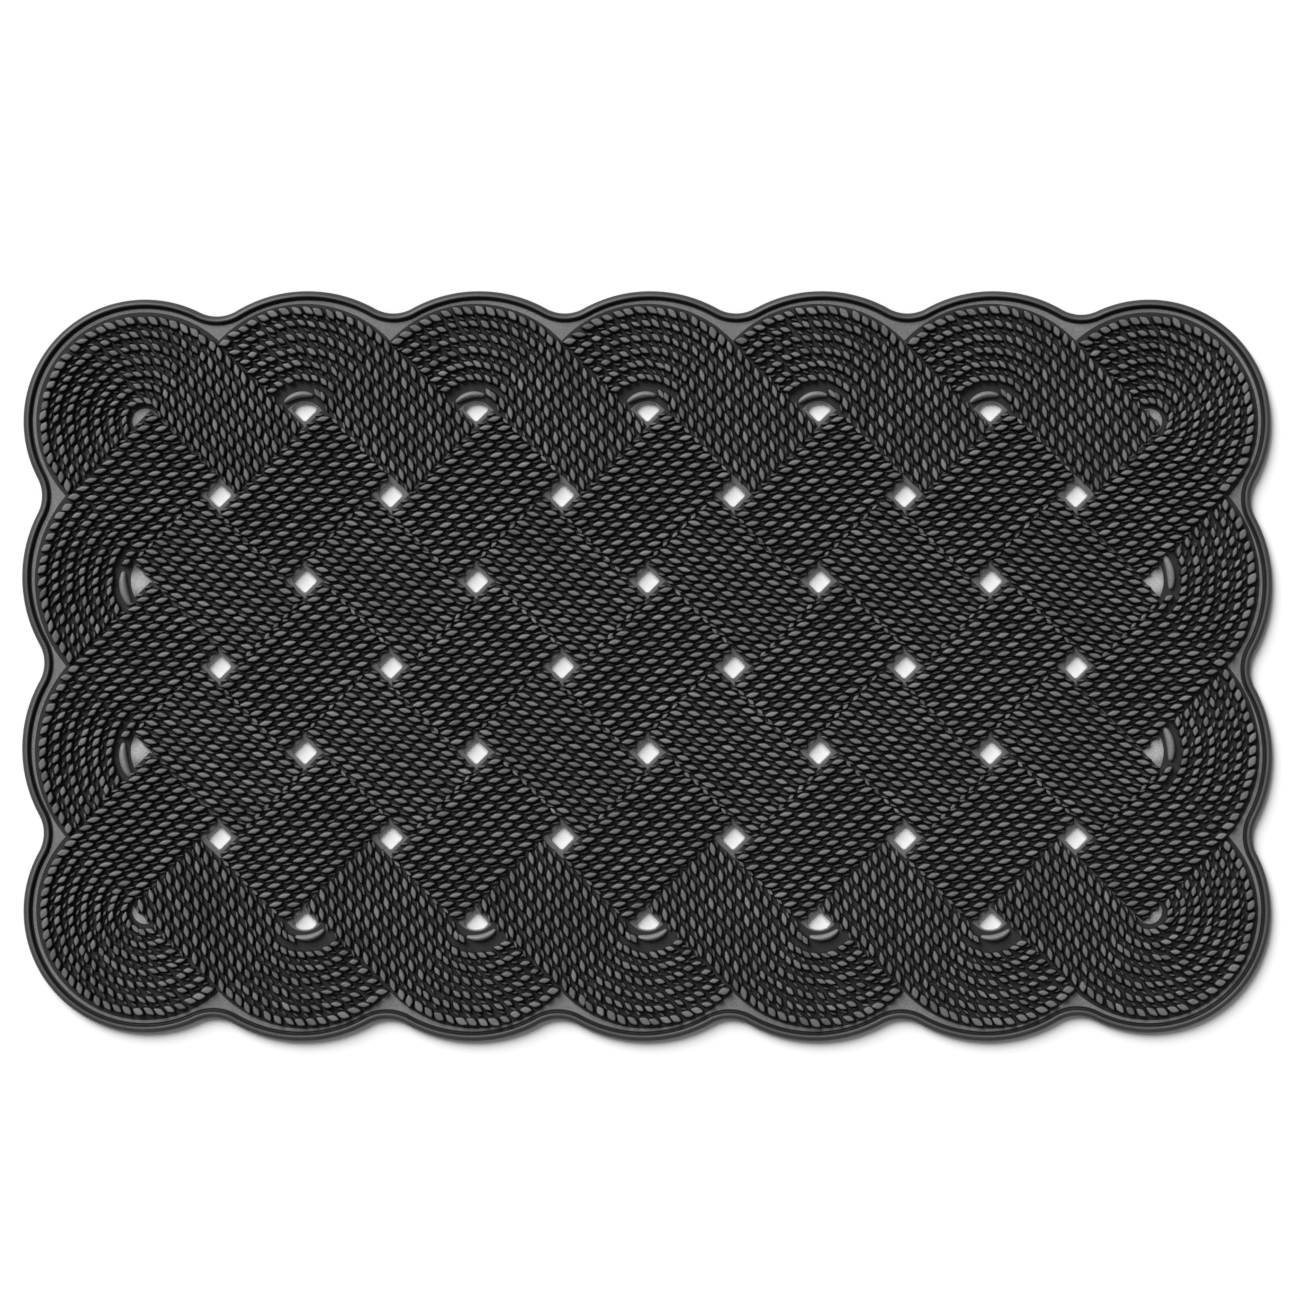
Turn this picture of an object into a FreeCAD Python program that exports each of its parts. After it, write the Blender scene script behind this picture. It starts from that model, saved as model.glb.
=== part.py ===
import FreeCAD
import Part
import math
import os

# Door mat: one rubber moulding with a scalloped edge, shaped like a flat braid of one wide band.
# Millimetres. Origin at the middle of the underside, X along the length, Y across, Z up.

V = FreeCAD.Vector

# Overall size
LENGTH = 750.0
WIDTH = 450.0

# The braid's square grid: drain holes and band crossings alternate on it like a chessboard's squares
STEP = 51.4
COLUMNS = 6
ROWS = 3
DIAGONAL = math.sqrt(0.5)
BAND_SPACING = STEP / DIAGONAL
HALF_SPACING = BAND_SPACING / 2

# Heights
SHEET_TOP = 3.6
BED_TOP = 4.2
LIP_TOP = 6.6
BEAD_TOP = 8.0
PIN_TOP = 9.0

# One band is seven cords wide, and each cord is a row of lozenge-shaped pins
CORDS = 7
CORD_PITCH = 8.0
HALF_BAND = 27.7
PASS_HALF = 43.8
PASS_PINS = 12
PIN_PITCH = 7.3
PIN_LENGTH = 8.4
PIN_WIDTH = 4.2
BIGHT_PIN_LENGTH = 6.8
BIGHT_PITCH_INNER = 5.1
BIGHT_PITCH_OUTER = 6.75
PIN_TAPER = 0.8
LAY = math.radians(32)
GAP = 0.6

# Edge bights, in a local frame: origin on the drain hole or pocket, Y outwards, X clockwise.
# Each arc's centre is set inwards, and its legs run straight on to the next crossings.
TOP_ARC_INSET = 7.5
TOP_ARC_RADIUS = 42.55
SIDE_ARC_INSET = 20.0
SIDE_ARC_RADIUS = 50.0
CORNER_ARC_INSET = 10.3
CORNER_ARC_RADIUS = HALF_SPACING
BED_INWARD = {"top": 2.5, "side": 0, "corner": 0}

# Scalloped outline: one large arc round each bight, with a hollow between neighbours
TOP_OUTLINE_INSET = 11.8
SIDE_OUTLINE_INSET = 16.7
OUTLINE_LEAN = 2.0
CORNER_OUTLINE_INSET = 7.3
CORNER_OUTLINE_RADIUS = 73.05
NOTCH_RADIUS = 23.0

# Edge lip and the groove inside it, as distances in from the outline
LIP_CREST_OUT = 2.4
LIP_CREST_IN = 3.4
LIP_FOOT = 4.2
GROOVE_END = 5.6
GROOVE_FLOOR = 2.7

# Drain holes, square and set cornerwise, and the drainage channels under the sheet
HOLE_HALF = 5.5
EDGE_HOLE_RADIUS = 11.5
CHANNEL_WIDTH = 5.0
CHANNEL_DEPTH = 1.2

# Smooth bead that takes the innermost cord's place round each top, bottom and side bight
BEAD_WIDTH = {"top": 3.9, "side": 5.0}
BEAD_INWARD = {"top": 2.2, "side": 0}
BEAD_FROM = {"top": math.radians(-46), "side": math.radians(-36)}
BEAD_TO = {"top": math.radians(19), "side": math.radians(12)}
BEAD_PINS_FROM = math.radians(18)


def grid(column, row):
    return V(column * STEP, row * STEP, 0)


def unit(angle):
    return V(math.cos(angle), math.sin(angle), 0)


def lift(vector, z):
    return V(vector.x, vector.y, z)


def slab(face, depth):
    return face.extrude(V(0, 0, depth))


def flat_box(along, half_along, half_across, angle, centre):
    """A rectangle as a face at height zero, turned by angle about its centre."""
    corners = [(-1, -1), (1, -1), (1, 1), (-1, 1)]
    u, w = unit(angle), unit(angle + math.pi / 2)
    points = [centre + u * (along + i * half_along) + w * (j * half_across) for i, j in corners]
    return Part.Face(Part.makePolygon(points + points[:1]))


def lozenge(centre, angle, length, width):
    u, w = unit(angle), unit(angle + math.pi / 2)
    return [centre + u * (length / 2), centre + w * (width / 2),
            centre - u * (length / 2), centre - w * (width / 2)]


def pinned_bed(outline, pins):
    """A thin bed with the given face as its outline and tapered lozenge pins standing on it."""
    bed = slab(outline.translated(V(0, 0, SHEET_TOP)), BED_TOP - SHEET_TOP)
    faces = [face for face in bed.Faces if face.CenterOfMass.z < BED_TOP - 0.001]
    rim = [face for face in bed.Faces if face.CenterOfMass.z > BED_TOP - 0.001][0].OuterWire
    feet = []
    for centre, angle, length in pins:
        foot = [lift(p, BED_TOP) for p in lozenge(centre, angle, length, PIN_WIDTH)]
        head = [lift(p, PIN_TOP)
                for p in lozenge(centre, angle, length * PIN_TAPER, PIN_WIDTH * PIN_TAPER)]
        feet.append(Part.makePolygon(foot + foot[:1]))
        faces.append(Part.Face(Part.makePolygon(head + head[:1])))
        for i in range(4):
            j = (i + 1) % 4
            side = [foot[i], foot[j], head[j], head[i], foot[i]]
            faces.append(Part.Face(Part.makePolygon(side)))
    faces.append(Part.makeFace([rim] + feet, "Part::FaceMakerCheese"))
    shell = Part.makeShell(faces)
    shell.sewShape()
    return Part.makeSolid(shell.Shells[0])


def straight_pass(column, row):
    """A straight piece of band across one crossing; rising where the column is even, else falling."""
    rising = column % 2 == 0
    axis = math.pi / 4 if rising else -math.pi / 4
    lay = -LAY if rising else LAY
    centre = grid(column, row)
    u, w = unit(axis), unit(axis + math.pi / 2)
    pins = []
    for cord in range(CORDS):
        for i in range(PASS_PINS):
            along = (i - (PASS_PINS - 1) / 2) * PIN_PITCH
            across = (cord - (CORDS - 1) / 2) * CORD_PITCH
            pins.append((centre + u * along + w * across, axis + lay, PIN_LENGTH))
    outline = flat_box(0, PASS_HALF, HALF_BAND, axis, centre)
    return pinned_bed(outline, pins)


def bight_shape(kind):
    """Arc centre, arc radius, half angle and the next crossing, in the bight's local frame."""
    if kind == "top":
        return V(0, -TOP_ARC_INSET, 0), TOP_ARC_RADIUS, math.pi / 4, V(STEP, 0, 0)
    if kind == "side":
        return V(0, -SIDE_ARC_INSET, 0), SIDE_ARC_RADIUS, math.pi / 4, V(STEP, 0, 0)
    crossing = V(HALF_SPACING, -HALF_SPACING, 0)
    return V(0, -CORNER_ARC_INSET, 0), CORNER_ARC_RADIUS, math.pi / 2, crossing


def leg_shift(kind):
    """How far the legs of a bight stand outside the grid's own band line."""
    centre, radius, half, crossing = bight_shape(kind)
    return radius + centre.dot(unit(math.pi / 2 - half)) - HALF_SPACING


def ring_sector(centre, inner, outer, start, end):
    """A flat part of a ring between two angles, which are measured from X."""
    middle = (start + end) / 2
    points = [centre + unit(a) * r for r in (outer, inner) for a in (start, middle, end)]
    edges = [Part.Arc(*points[:3]).toShape(), Part.makeLine(points[2], points[5]),
             Part.Arc(points[5], points[4], points[3]).toShape(), Part.makeLine(points[3], points[0])]
    return Part.Face(Part.Wire(edges))


def bight(kind, before):
    """A band's turn at the edge: under the band before it, round its arc and over the next crossing."""
    centre, radius, half, crossing = bight_shape(kind)
    start_angle, end_angle = math.pi / 2 + half, math.pi / 2 - half
    over_dir = unit(-half)
    under_dir = unit(math.pi + half)
    over_length = (crossing - centre).dot(over_dir) + PASS_HALF
    under_crossing = V(-crossing.x, crossing.y, 0)
    under_length = (under_crossing - centre).dot(under_dir) - HALF_BAND - leg_shift(before) - GAP
    over_foot = centre + unit(end_angle) * radius
    under_foot = centre + unit(start_angle) * radius

    outline = ring_sector(centre, radius - HALF_BAND - BED_INWARD[kind], radius + HALF_BAND,
                          end_angle, start_angle)
    leg = flat_box(over_length / 2, over_length / 2, HALF_BAND, -half, over_foot)
    if under_length > 0:
        stub = flat_box(under_length / 2, under_length / 2, HALF_BAND, math.pi + half, under_foot)
        outline = outline.fuse([leg, stub])
    else:
        outline = outline.fuse(leg)
        outline = outline.cut(flat_box(radius, radius, HALF_BAND + 5 * GAP, math.pi + half,
                                       under_foot + under_dir * under_length))
    outline = outline.removeSplitter().Faces[0]

    has_bead = kind != "corner"
    pins = []
    for cord in range(CORDS):
        cord_radius = radius + (cord - (CORDS - 1) / 2) * CORD_PITCH
        over_start = over_foot + unit(end_angle) * (cord_radius - radius)
        pins += leg_pins(over_start, over_dir, over_length, -half - LAY)
        if cord > 0 or not has_bead:
            pins += arc_pins(centre, cord_radius, start_angle, end_angle, under_length)
        else:
            pins += arc_pins(centre, cord_radius, math.pi / 2 - BEAD_PINS_FROM, end_angle, 0)
    solid = pinned_bed(outline, pins)
    if has_bead:
        bead_radius = radius - (CORDS - 1) / 2 * CORD_PITCH - BEAD_INWARD[kind]
        half_width = BEAD_WIDTH[kind] / 2
        track = ring_sector(centre, bead_radius - half_width, bead_radius + half_width,
                            math.pi / 2 - BEAD_TO[kind], math.pi / 2 - BEAD_FROM[kind])
        solid = solid.fuse(slab(track.translated(V(0, 0, BED_TOP)), BEAD_TOP - BED_TOP))
    return solid


def leg_pins(start, direction, length, angle):
    """Pins along a straight leg, spread evenly between the arc's end and the leg's far end."""
    last = length - PASS_HALF + (PASS_PINS - 1) / 2 * PIN_PITCH
    count = round(last / PIN_PITCH + 0.5)
    pitch = last / (count - 0.5)
    return [(start + direction * (i + 0.5) * pitch, angle, PIN_LENGTH) for i in range(count)]


def arc_pins(centre, radius, start_angle, end_angle, under_length):
    """Pins round the arc, closer together on the inner cords, spread evenly as far as the band before."""
    share = min(1, radius / (TOP_ARC_RADIUS + HALF_BAND))
    pitch = BIGHT_PITCH_INNER + (BIGHT_PITCH_OUTER - BIGHT_PITCH_INNER) * share
    length = BIGHT_PIN_LENGTH - (1 - share) / 2
    clear = length / 2 * math.cos(LAY) + GAP - under_length
    last = start_angle - math.asin(clear / radius)
    count = round((last - end_angle) * radius / pitch + 0.5)
    pins = []
    for i in range(count):
        angle = end_angle + (last - end_angle) * (i + 0.5) / (count - 0.5)
        pins.append((centre + unit(angle) * radius, angle - math.pi / 2 - LAY, length))
    return pins


def placed(shape, column, row, degrees):
    """A bight moved from its local frame to a grid point and turned about it."""
    turned = shape.copy()
    turned.rotate(V(0, 0, 0), V(0, 0, 1), degrees)
    turned.translate(grid(column, row))
    return turned


def outline_arcs():
    """Centre and radius of each outline arc, clockwise from the corner at the low-X, high-Y end."""
    top_radius = WIDTH / 2 - ROWS * STEP + TOP_OUTLINE_INSET
    side_radius = LENGTH / 2 - COLUMNS * STEP + SIDE_OUTLINE_INSET
    inset = CORNER_OUTLINE_INSET
    half = [(grid(-COLUMNS, ROWS) + V(inset, -inset, 0), CORNER_OUTLINE_RADIUS)]
    for column in range(-4, 5, 2):
        half.append((grid(column, ROWS) + V(OUTLINE_LEAN, -TOP_OUTLINE_INSET, 0), top_radius))
    half.append((grid(COLUMNS, ROWS) + V(-inset, -inset, 0), CORNER_OUTLINE_RADIUS))
    for row in (1, -1):
        half.append((grid(COLUMNS, row) + V(-SIDE_OUTLINE_INSET, -OUTLINE_LEAN, 0), side_radius))
    return half + [(V(-c.x, -c.y, 0), r) for c, r in half]


def outline_wire(inset, z):
    """The scalloped outline moved inwards by a distance, at a height."""
    arcs = outline_arcs()
    count = len(arcs)
    notches = []
    for i in range(count):
        (c1, r1), (c2, r2) = arcs[i], arcs[(i + 1) % count]
        a, b = r1 + NOTCH_RADIUS, r2 + NOTCH_RADIUS
        gap = c2 - c1
        d = gap.Length
        along = (a * a - b * b + d * d) / (2 * d)
        u = gap * (1 / d)
        notches.append(c1 + u * along + V(-u.y, u.x, 0) * math.sqrt(a * a - along * along))
    edges = []
    for i in range(count):
        c, r = arcs[i]
        before, after = notches[i - 1], notches[i]
        start = c + (before - c).normalize() * (r - inset)
        end = c + (after - c).normalize() * (r - inset)
        crown = c + ((start - c) + (end - c)).normalize() * (r - inset)
        following, next_r = arcs[(i + 1) % count]
        turn = following + (after - following).normalize() * (next_r - inset)
        dip = after + ((end - after) + (turn - after)).normalize() * (NOTCH_RADIUS + inset)
        for a, m, b in ((start, crown, end), (end, dip, turn)):
            edges.append(Part.Arc(lift(a, z), lift(m, z), lift(b, z)).toShape())
    return Part.Wire(edges)


def outline_face(inset, z):
    return Part.Face(outline_wire(inset, z))


def drain_hole(column, row):
    """A cornerwise square; the edge holes have their outer corner rounded to follow the bight."""
    hole = flat_box(0, HOLE_HALF, HOLE_HALF, math.pi / 4, grid(column, row))
    if abs(row) == ROWS:
        centre = grid(column, row) - V(0, math.copysign(TOP_ARC_INSET, row), 0)
        hole = hole.common(Part.Face(Part.Wire(Part.makeCircle(EDGE_HOLE_RADIUS, centre))))
    return slab(hole, PIN_TOP)


def base_sheet():
    """The sheet under everything: outline, groove inside the lip, drain holes and channels below."""
    sheet = slab(outline_face(0, 0), SHEET_TOP)
    groove = slab(outline_face(LIP_FOOT, GROOVE_FLOOR), SHEET_TOP)
    groove = groove.cut(slab(outline_face(GROOVE_END, 0), PIN_TOP))
    cuts = [groove]
    for row in range(-ROWS, ROWS + 1):
        for column in range(1 - COLUMNS, COLUMNS):
            if (column + row) % 2 == 1:
                cuts.append(drain_hole(column, row))
    for line in range(-COLUMNS - 1, COLUMNS + 2, 2):
        for angle in (math.pi / 4, -math.pi / 4):
            strip = flat_box(0, LENGTH, CHANNEL_WIDTH / 2, angle, grid(line, 0))
            cuts.append(slab(strip, CHANNEL_DEPTH))
    for cut in cuts:
        sheet = sheet.cut(cut)
    return sheet


def border_lip():
    """Raised edge on the sheet: a sloping outer face, a narrow crest and a steeper inner face."""
    outer = Part.makeLoft([outline_wire(0, SHEET_TOP), outline_wire(LIP_CREST_OUT, LIP_TOP)],
                          True, True)
    inner = Part.makeLoft([outline_wire(LIP_FOOT, SHEET_TOP), outline_wire(LIP_CREST_IN, LIP_TOP)],
                          True, True)
    return outer.cut(inner)


def nodes():
    """Every node as name and solid, made one at a time."""
    yield "base_sheet", base_sheet()
    yield "border_lip", border_lip()
    for row, name in ((2, "row1"), (0, "row2"), (-2, "row3")):
        for number, column in enumerate(range(-4, 5, 2), 1):
            yield f"rising_pass_{name}_{number}", straight_pass(column, row)
    for row, name in ((1, "row1"), (-1, "row2")):
        for number, column in enumerate(range(-5, 6, 2), 1):
            yield f"falling_pass_{name}_{number}", straight_pass(column, row)

    top, after_corner = bight("top", "top"), bight("top", "corner")
    for number, column in enumerate(range(-4, 5, 2), 1):
        shape = after_corner if number == 1 else top
        yield f"top_bight_{number}", placed(shape, column, ROWS, 0)
        yield f"bottom_bight_{number}", placed(shape, -column, -ROWS, 180)
    for number, (row, before) in enumerate(((-1, "corner"), (1, "side")), 1):
        shape = bight("side", before)
        yield f"left_bight_{number}", placed(shape, -COLUMNS, row, 90)
        yield f"right_bight_{number}", placed(shape, COLUMNS, -row, -90)
    after_side, after_top = bight("corner", "side"), bight("corner", "top")
    yield "corner_bight_top_left", placed(after_side, -COLUMNS, ROWS, 45)
    yield "corner_bight_bottom_right", placed(after_side, COLUMNS, -ROWS, -135)
    yield "corner_bight_top_right", placed(after_top, COLUMNS, ROWS, -45)
    yield "corner_bight_bottom_left", placed(after_top, -COLUMNS, -ROWS, 135)


os.makedirs("parts", exist_ok=True)
for name, shape in nodes():
    solid = shape.Solids[0]
    print(name, len(shape.Solids), solid.isValid(), round(solid.Volume))
    solid.exportStep(f"parts/{name}.step")
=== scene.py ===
import math
import bpy
import numpy as np
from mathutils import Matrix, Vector, geometry


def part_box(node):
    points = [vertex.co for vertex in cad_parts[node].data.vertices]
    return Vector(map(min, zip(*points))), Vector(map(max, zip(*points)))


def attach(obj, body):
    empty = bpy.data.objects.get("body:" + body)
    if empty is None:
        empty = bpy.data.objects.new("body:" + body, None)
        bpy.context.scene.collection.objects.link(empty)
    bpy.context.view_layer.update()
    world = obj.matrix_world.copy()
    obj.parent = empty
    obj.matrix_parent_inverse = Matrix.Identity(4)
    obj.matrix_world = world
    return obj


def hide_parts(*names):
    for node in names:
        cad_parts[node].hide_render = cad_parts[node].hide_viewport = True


# Rubber door mat, moulded in one and shaped like a flat braid of one wide band.
# Shapes are worked out in millimetres in the CAD's own frame and scaled to metres when a mesh is made.

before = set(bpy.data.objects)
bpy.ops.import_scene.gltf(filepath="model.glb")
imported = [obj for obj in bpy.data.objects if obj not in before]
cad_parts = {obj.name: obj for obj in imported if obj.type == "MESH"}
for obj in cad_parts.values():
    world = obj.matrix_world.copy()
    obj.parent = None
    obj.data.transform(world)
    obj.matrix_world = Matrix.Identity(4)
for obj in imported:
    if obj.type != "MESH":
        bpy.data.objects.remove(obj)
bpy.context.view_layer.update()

MM = 0.001
rng = np.random.default_rng(7)

# Overall size, from the CAD
low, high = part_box("base_sheet")
LENGTH = (high.x - low.x) / MM
WIDTH = (high.y - low.y) / MM
SHEET_TOP = high.z / MM
PIN_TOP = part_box("rising_pass_row2_3")[1].z / MM
LIP_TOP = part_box("border_lip")[1].z / MM

# The braid's square grid
STEP = 51.4
COLUMNS = 6
ROWS = 3
BAND_SPACING = STEP * math.sqrt(2)
HALF_SPACING = BAND_SPACING / 2

# Bands, cords and pins
BED_TOP = 3.7
CORDS = 7
CORD_PITCH = 8.0
HALF_BAND = 27.7
PASS_HALF = 43.8
PASS_PINS = 12
PIN_PITCH = 7.3
PIN_LENGTH = 8.0
PIN_WIDTH = 2.95
BIGHT_PIN_LENGTH = 6.4
OUTER_PIN_LENGTH = 7.2
OUTER_PIN_WIDTH = 3.9
RIB_LENGTH = 5.6
RIB_WIDTH = 1.3
BIGHT_RIB_LENGTH = 3.9
SIDE_RIB_LENGTH = 4.6
SIDE_RIB_BESIDE = 3.5
RIM_PINS = 4
END_PAD_LENGTH = 4.2
END_PAD_WIDTH = 2.1
END_PAD_BEYOND = 0.1
END_PAD_SHIFT = 2.4
BIGHT_PITCH_INNER = 5.1
BIGHT_PITCH_OUTER = 6.75
BED_SHORTER = 0.2
BED_WIDER = 0.9
BED_BEYOND = {"top": 0.5, "side": 1.3, "corner": 1.4}
BED_INWARD = {"top": 1.6, "side": 0.0, "corner": 0.0}
BED_CORNER = 1.2
LAY = math.radians(32)
GAP = 0.6

# Edge bights, in a local frame: origin on the drain hole or pocket, Y outwards, X clockwise
TOP_ARC_INSET = 7.5
TOP_ARC_RADIUS = 42.55
SIDE_ARC_INSET = 20.0
SIDE_ARC_RADIUS = 50.0
CORNER_ARC_INSET = 10.3
CORNER_ARC_RADIUS = HALF_SPACING

# Scalloped outline
TOP_OUTLINE_INSET = 11.8
SIDE_OUTLINE_INSET = 16.7
OUTLINE_LEAN = 2.0
CORNER_OUTLINE_INSET = 7.3
CORNER_OUTLINE_RADIUS = 73.05
NOTCH_RADIUS = 23.0
GROOVE_FLOOR = 2.7
SHEET_START = 6.2

# Drain holes and the channels under the sheet
HOLE_HALF = 5.5
HOLE_CORNER = 1.7
EDGE_HOLE_RADIUS = 11.5
HOLE_ROUNDING = 0.7
CHANNEL_DEPTH = 1.2
CHANNEL_FLOOR = 1.9
CHANNEL_EDGE = 2.9
CHANNEL_LINE_STEPS = 5
CLEAR_OF_EDGE = 0.35
CLEAR_OF_HOLE = 0.2

# Floors of the closed pockets at the ends and corners, by row: rings of points, place and lighter tone, for
# dust and a painted sheen
POCKET_RINGS = (2.0, 4.0, 6.0, 8.0)
POCKET_INSET = {1: np.array([4.0, 1.0]), ROWS: np.array([3.7, 4.5])}
POCKET_DUST_AND_SHEEN = {1: 2.6, ROWS: 1.8}

# Crescent beads
BEAD_TOP = 8.0
BEAD_WIDTH = {"top": 3.9, "side": 5.0}
BEAD_INWARD = {"top": 2.2, "side": 0.0}
BEAD_FROM = {"top": math.radians(-46), "side": math.radians(-36)}
BEAD_TO = {"top": math.radians(19), "side": math.radians(12)}
BEAD_PINS_FROM = math.radians(18)
BEAD_SUNK = 0.05
BEAD_BLUNTNESS = 0.45
BEAD_FULLNESS = 0.7
BEAD_END_WIDTH = 0.25
BEAD_END_HEIGHT = 0.3

# Edge profiles as (distance in from the outline, height, tone); the tones are painted light and shade
# The lip: its outer slope darker as painted shade, a painted highlight on the crest, and painted shade on
# the inner face
LIP_PROFILE = [(0.0, SHEET_TOP, 0.2), (0.2, 4.3, 0.2), (0.62, 5.0, 0.2), (1.15, 5.6, 0.25), (1.75, 6.1, 0.4),
               (2.3, 6.42, 0.8), (2.75, 6.57, 1.0), (3.05, LIP_TOP, 1.0), (3.35, 6.5, 0.8), (3.62, 6.2, 0.3),
               (3.82, 5.7, 0.1), (3.97, 5.0, 0.0), (4.1, 4.2, 0.0), (4.2, SHEET_TOP, 0.0)]
SIDE_PROFILE = [(4.2, SHEET_TOP, 0.0), (0.0, SHEET_TOP, 0.1), (0.0, 0.55, 0.1), (0.05, 0.28, 0.1),
                (0.2, 0.08, 0.1), (0.5, 0.0, 0.1)]
# The groove is near black as painted shade, rising to the sheet's tone at its inner edge
GROOVE_PROFILE = [(4.2, SHEET_TOP, 0.0), (4.3, 3.2, 0.0), (4.5, 2.88, 0.0), (4.8, GROOVE_FLOOR, 0.0),
                  (5.15, 2.76, 0.0), (5.42, 3.0, 0.15), (5.62, 3.3, 0.5), (5.86, 3.52, 0.9),
                  (SHEET_START, SHEET_TOP, 1.0)]
# Round a hole: a painted highlight on the rounded edge and down the wall, fading to painted shade at its
# foot
HOLE_PROFILE = [(HOLE_ROUNDING, SHEET_TOP, 0.65), (0.4, 3.54, 0.9), (0.17, 3.38, 1.2), (0.04, 3.14, 1.2),
                (0.0, 2.85, 1.0), (0.0, 0.35, 0.5), (0.1, 0.1, 0.3), (0.35, 0.0, 0.1)]
BED_PROFILE = [(0.0, SHEET_TOP - 0.1), (0.0, 3.62), (0.08, 3.68), (0.3, BED_TOP)]
# The bed under the pins is near black: painted shade between the pins
BED_SHADE_TONE = 0.03
# The crescent beads are lighter all over: a painted highlight
BEAD_HIGHLIGHT_TONE = 1.5

# Pin profile as (height, growth, tone): the pin's half sizes grow by that much. The tone is near black on
# the sides as painted shade and light on the top, partly wear and partly a painted highlight.
# The sides slope to a wide foot. A rub is the mean and the spread of the tops' wear.
PIN_PROFILE = [(SHEET_TOP - 0.02, 1.3, 0.1), (4.0, 1.0, 0.05), (4.8, 0.74, 0.0), (6.6, 0.42, 0.0),
               (8.2, 0.16, 0.05), (8.55, 0.0, 0.4), (8.8, -0.3, 0.85), (8.94, -0.68, 1.0),
               (PIN_TOP, -1.1, 1.05)]
PIN_SIDES = 14
PIN_POINTEDNESS = 1.4
PIN_RUB = (1.0, 0.18)

# Low ribs in the furrows between and beside the cords, and small pads of the same shape at pass ends; like
# the pins, near black sides as painted shade and a lighter top
RIB_PROFILE = [(SHEET_TOP, 0.5, 0.0), (4.6, 0.36, 0.05), (5.7, 0.18, 0.2), (6.15, 0.0, 0.5),
               (6.3, -0.35, 0.6)]
RIB_SIDES = 8
RIB_RUB = (1.0, 0.3)
# The pads' rub is higher: a painted sheen on their flat tops as well as wear
PAD_RUB_AND_SHEEN = (1.7, 0.5)

# How unevenly pins and ribs stand and are worn. A loose factor multiplies the first four.
TURN_SPREAD = math.radians(1.8)
PLACE_SPREAD = 0.1
LENGTH_SPREAD = 0.02
WIDTH_SPREAD = 0.03
LEAN_SPREAD = 0.16
WEAR_SPREAD = 0.06
FURTHEST_OFF = 0.6
RUB_LIMITS = (0.5, 3.5)
LEG_LOOSE = 1.4
ARC_LOOSE = 3
PAD_LOOSE = 2

# Fineness of the curves
EDGE_SPACING = 0.5
HOLE_SPACING = 0.55
SHORTEST_SIDE = 0.12
BED_SPACING = 2.0
BEAD_STEPS = 36
BEAD_SIDES = 9
SHARP_FROM = math.radians(62)


def grid(column, row):
    return np.array([column * STEP, row * STEP])


def unit(angle):
    return np.array([math.cos(angle), math.sin(angle)])


def turn(points, angle):
    c, s = math.cos(angle), math.sin(angle)
    return np.asarray(points) @ np.array([[c, s], [-s, c]])


# ---------------------------------------------------------------- meshes

class Skin:
    """Collects the points and faces of one piece, in millimetres."""

    def __init__(self):
        self.points = []
        self.tones = []
        self.quads = []
        self.triangles = []
        self.count = 0

    def add(self, points, quads=(), triangles=(), tone=1.0):
        """Adds points and their faces. The tone goes from 0, black, to 1, light; it carries painted light
        and shade as well as wear and dust.
        """
        self.points.append(np.asarray(points, float).reshape(-1, 3))
        self.tones.append(np.broadcast_to(tone, len(self.points[-1])))
        for faces, store, sides in ((quads, self.quads, 4), (triangles, self.triangles, 3)):
            if len(faces):
                store.append(np.asarray(faces, int).reshape(-1, sides) + self.count)
        self.count += len(self.points[-1])

    def loft(self, rings, closed=True, tones=1.0):
        """Skins a stack of rings, each an array of points in the same order, with one tone for each ring."""
        rings = np.asarray(rings)
        rows, sides = rings.shape[:2]
        quads = wall(rows, sides, sides if closed else sides - 1)
        self.add(rings.reshape(-1, 3), quads=quads, tone=np.repeat(np.broadcast_to(tones, rows), sides))

    def object(self, name):
        points = np.concatenate(self.points)
        keys, first, index = np.unique(np.round(points, 3), axis=0, return_index=True, return_inverse=True)
        index = index.reshape(-1)
        points = points[first]
        faces = []
        if self.quads:
            faces += clean(index[np.concatenate(self.quads)])
        if self.triangles:
            faces += clean(index[np.concatenate(self.triangles)])
        mesh = bpy.data.meshes.new(name)
        mesh.from_pydata((points * MM).tolist(), [], faces)
        tone = mesh.attributes.new("tone", "FLOAT", "POINT")
        tone.data.foreach_set("value", np.concatenate(self.tones)[first].astype(np.float32))
        mesh.validate()
        mesh.shade_smooth()
        mesh.set_sharp_from_angle(angle=SHARP_FROM)
        piece = bpy.data.objects.new(name, mesh)
        bpy.context.scene.collection.objects.link(piece)
        even = piece.modifiers.new("even shading", "WEIGHTED_NORMAL")
        even.keep_sharp = True
        return piece


def wall(rows, sides, last):
    """The quads between rows of points, each row with that many sides, as far round as the last side."""
    i, j = np.meshgrid(np.arange(rows - 1), np.arange(last), indexing="ij")
    k = (j + 1) % sides
    under, over = i * sides, (i + 1) * sides
    return np.stack([under + j, under + k, over + k, over + j], -1).reshape(-1, 4)


def clean(faces):
    """Faces as tuples, with points that fell together counted once and collapsed faces dropped."""
    kept = []
    for face in faces.tolist():
        ring = [p for i, p in enumerate(face) if p != face[i - 1]]
        if len(ring) > 2:
            kept.append(tuple(ring))
    return kept


def level(points, z):
    """Flat points lifted to a height, which may differ from point to point."""
    points = np.asarray(points)
    return np.column_stack([points, np.broadcast_to(z, len(points))])


def outward(points):
    """Outward normals at the corners of an anticlockwise loop, long enough to offset its sides by one."""
    points = np.asarray(points)
    side = np.roll(points, -1, 0) - points
    side /= np.linalg.norm(side, axis=1)[:, None]
    after = np.column_stack([side[:, 1], -side[:, 0]])
    before = np.roll(after, 1, 0)
    return (before + after) / (1 + (before * after).sum(1))[:, None]


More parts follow.
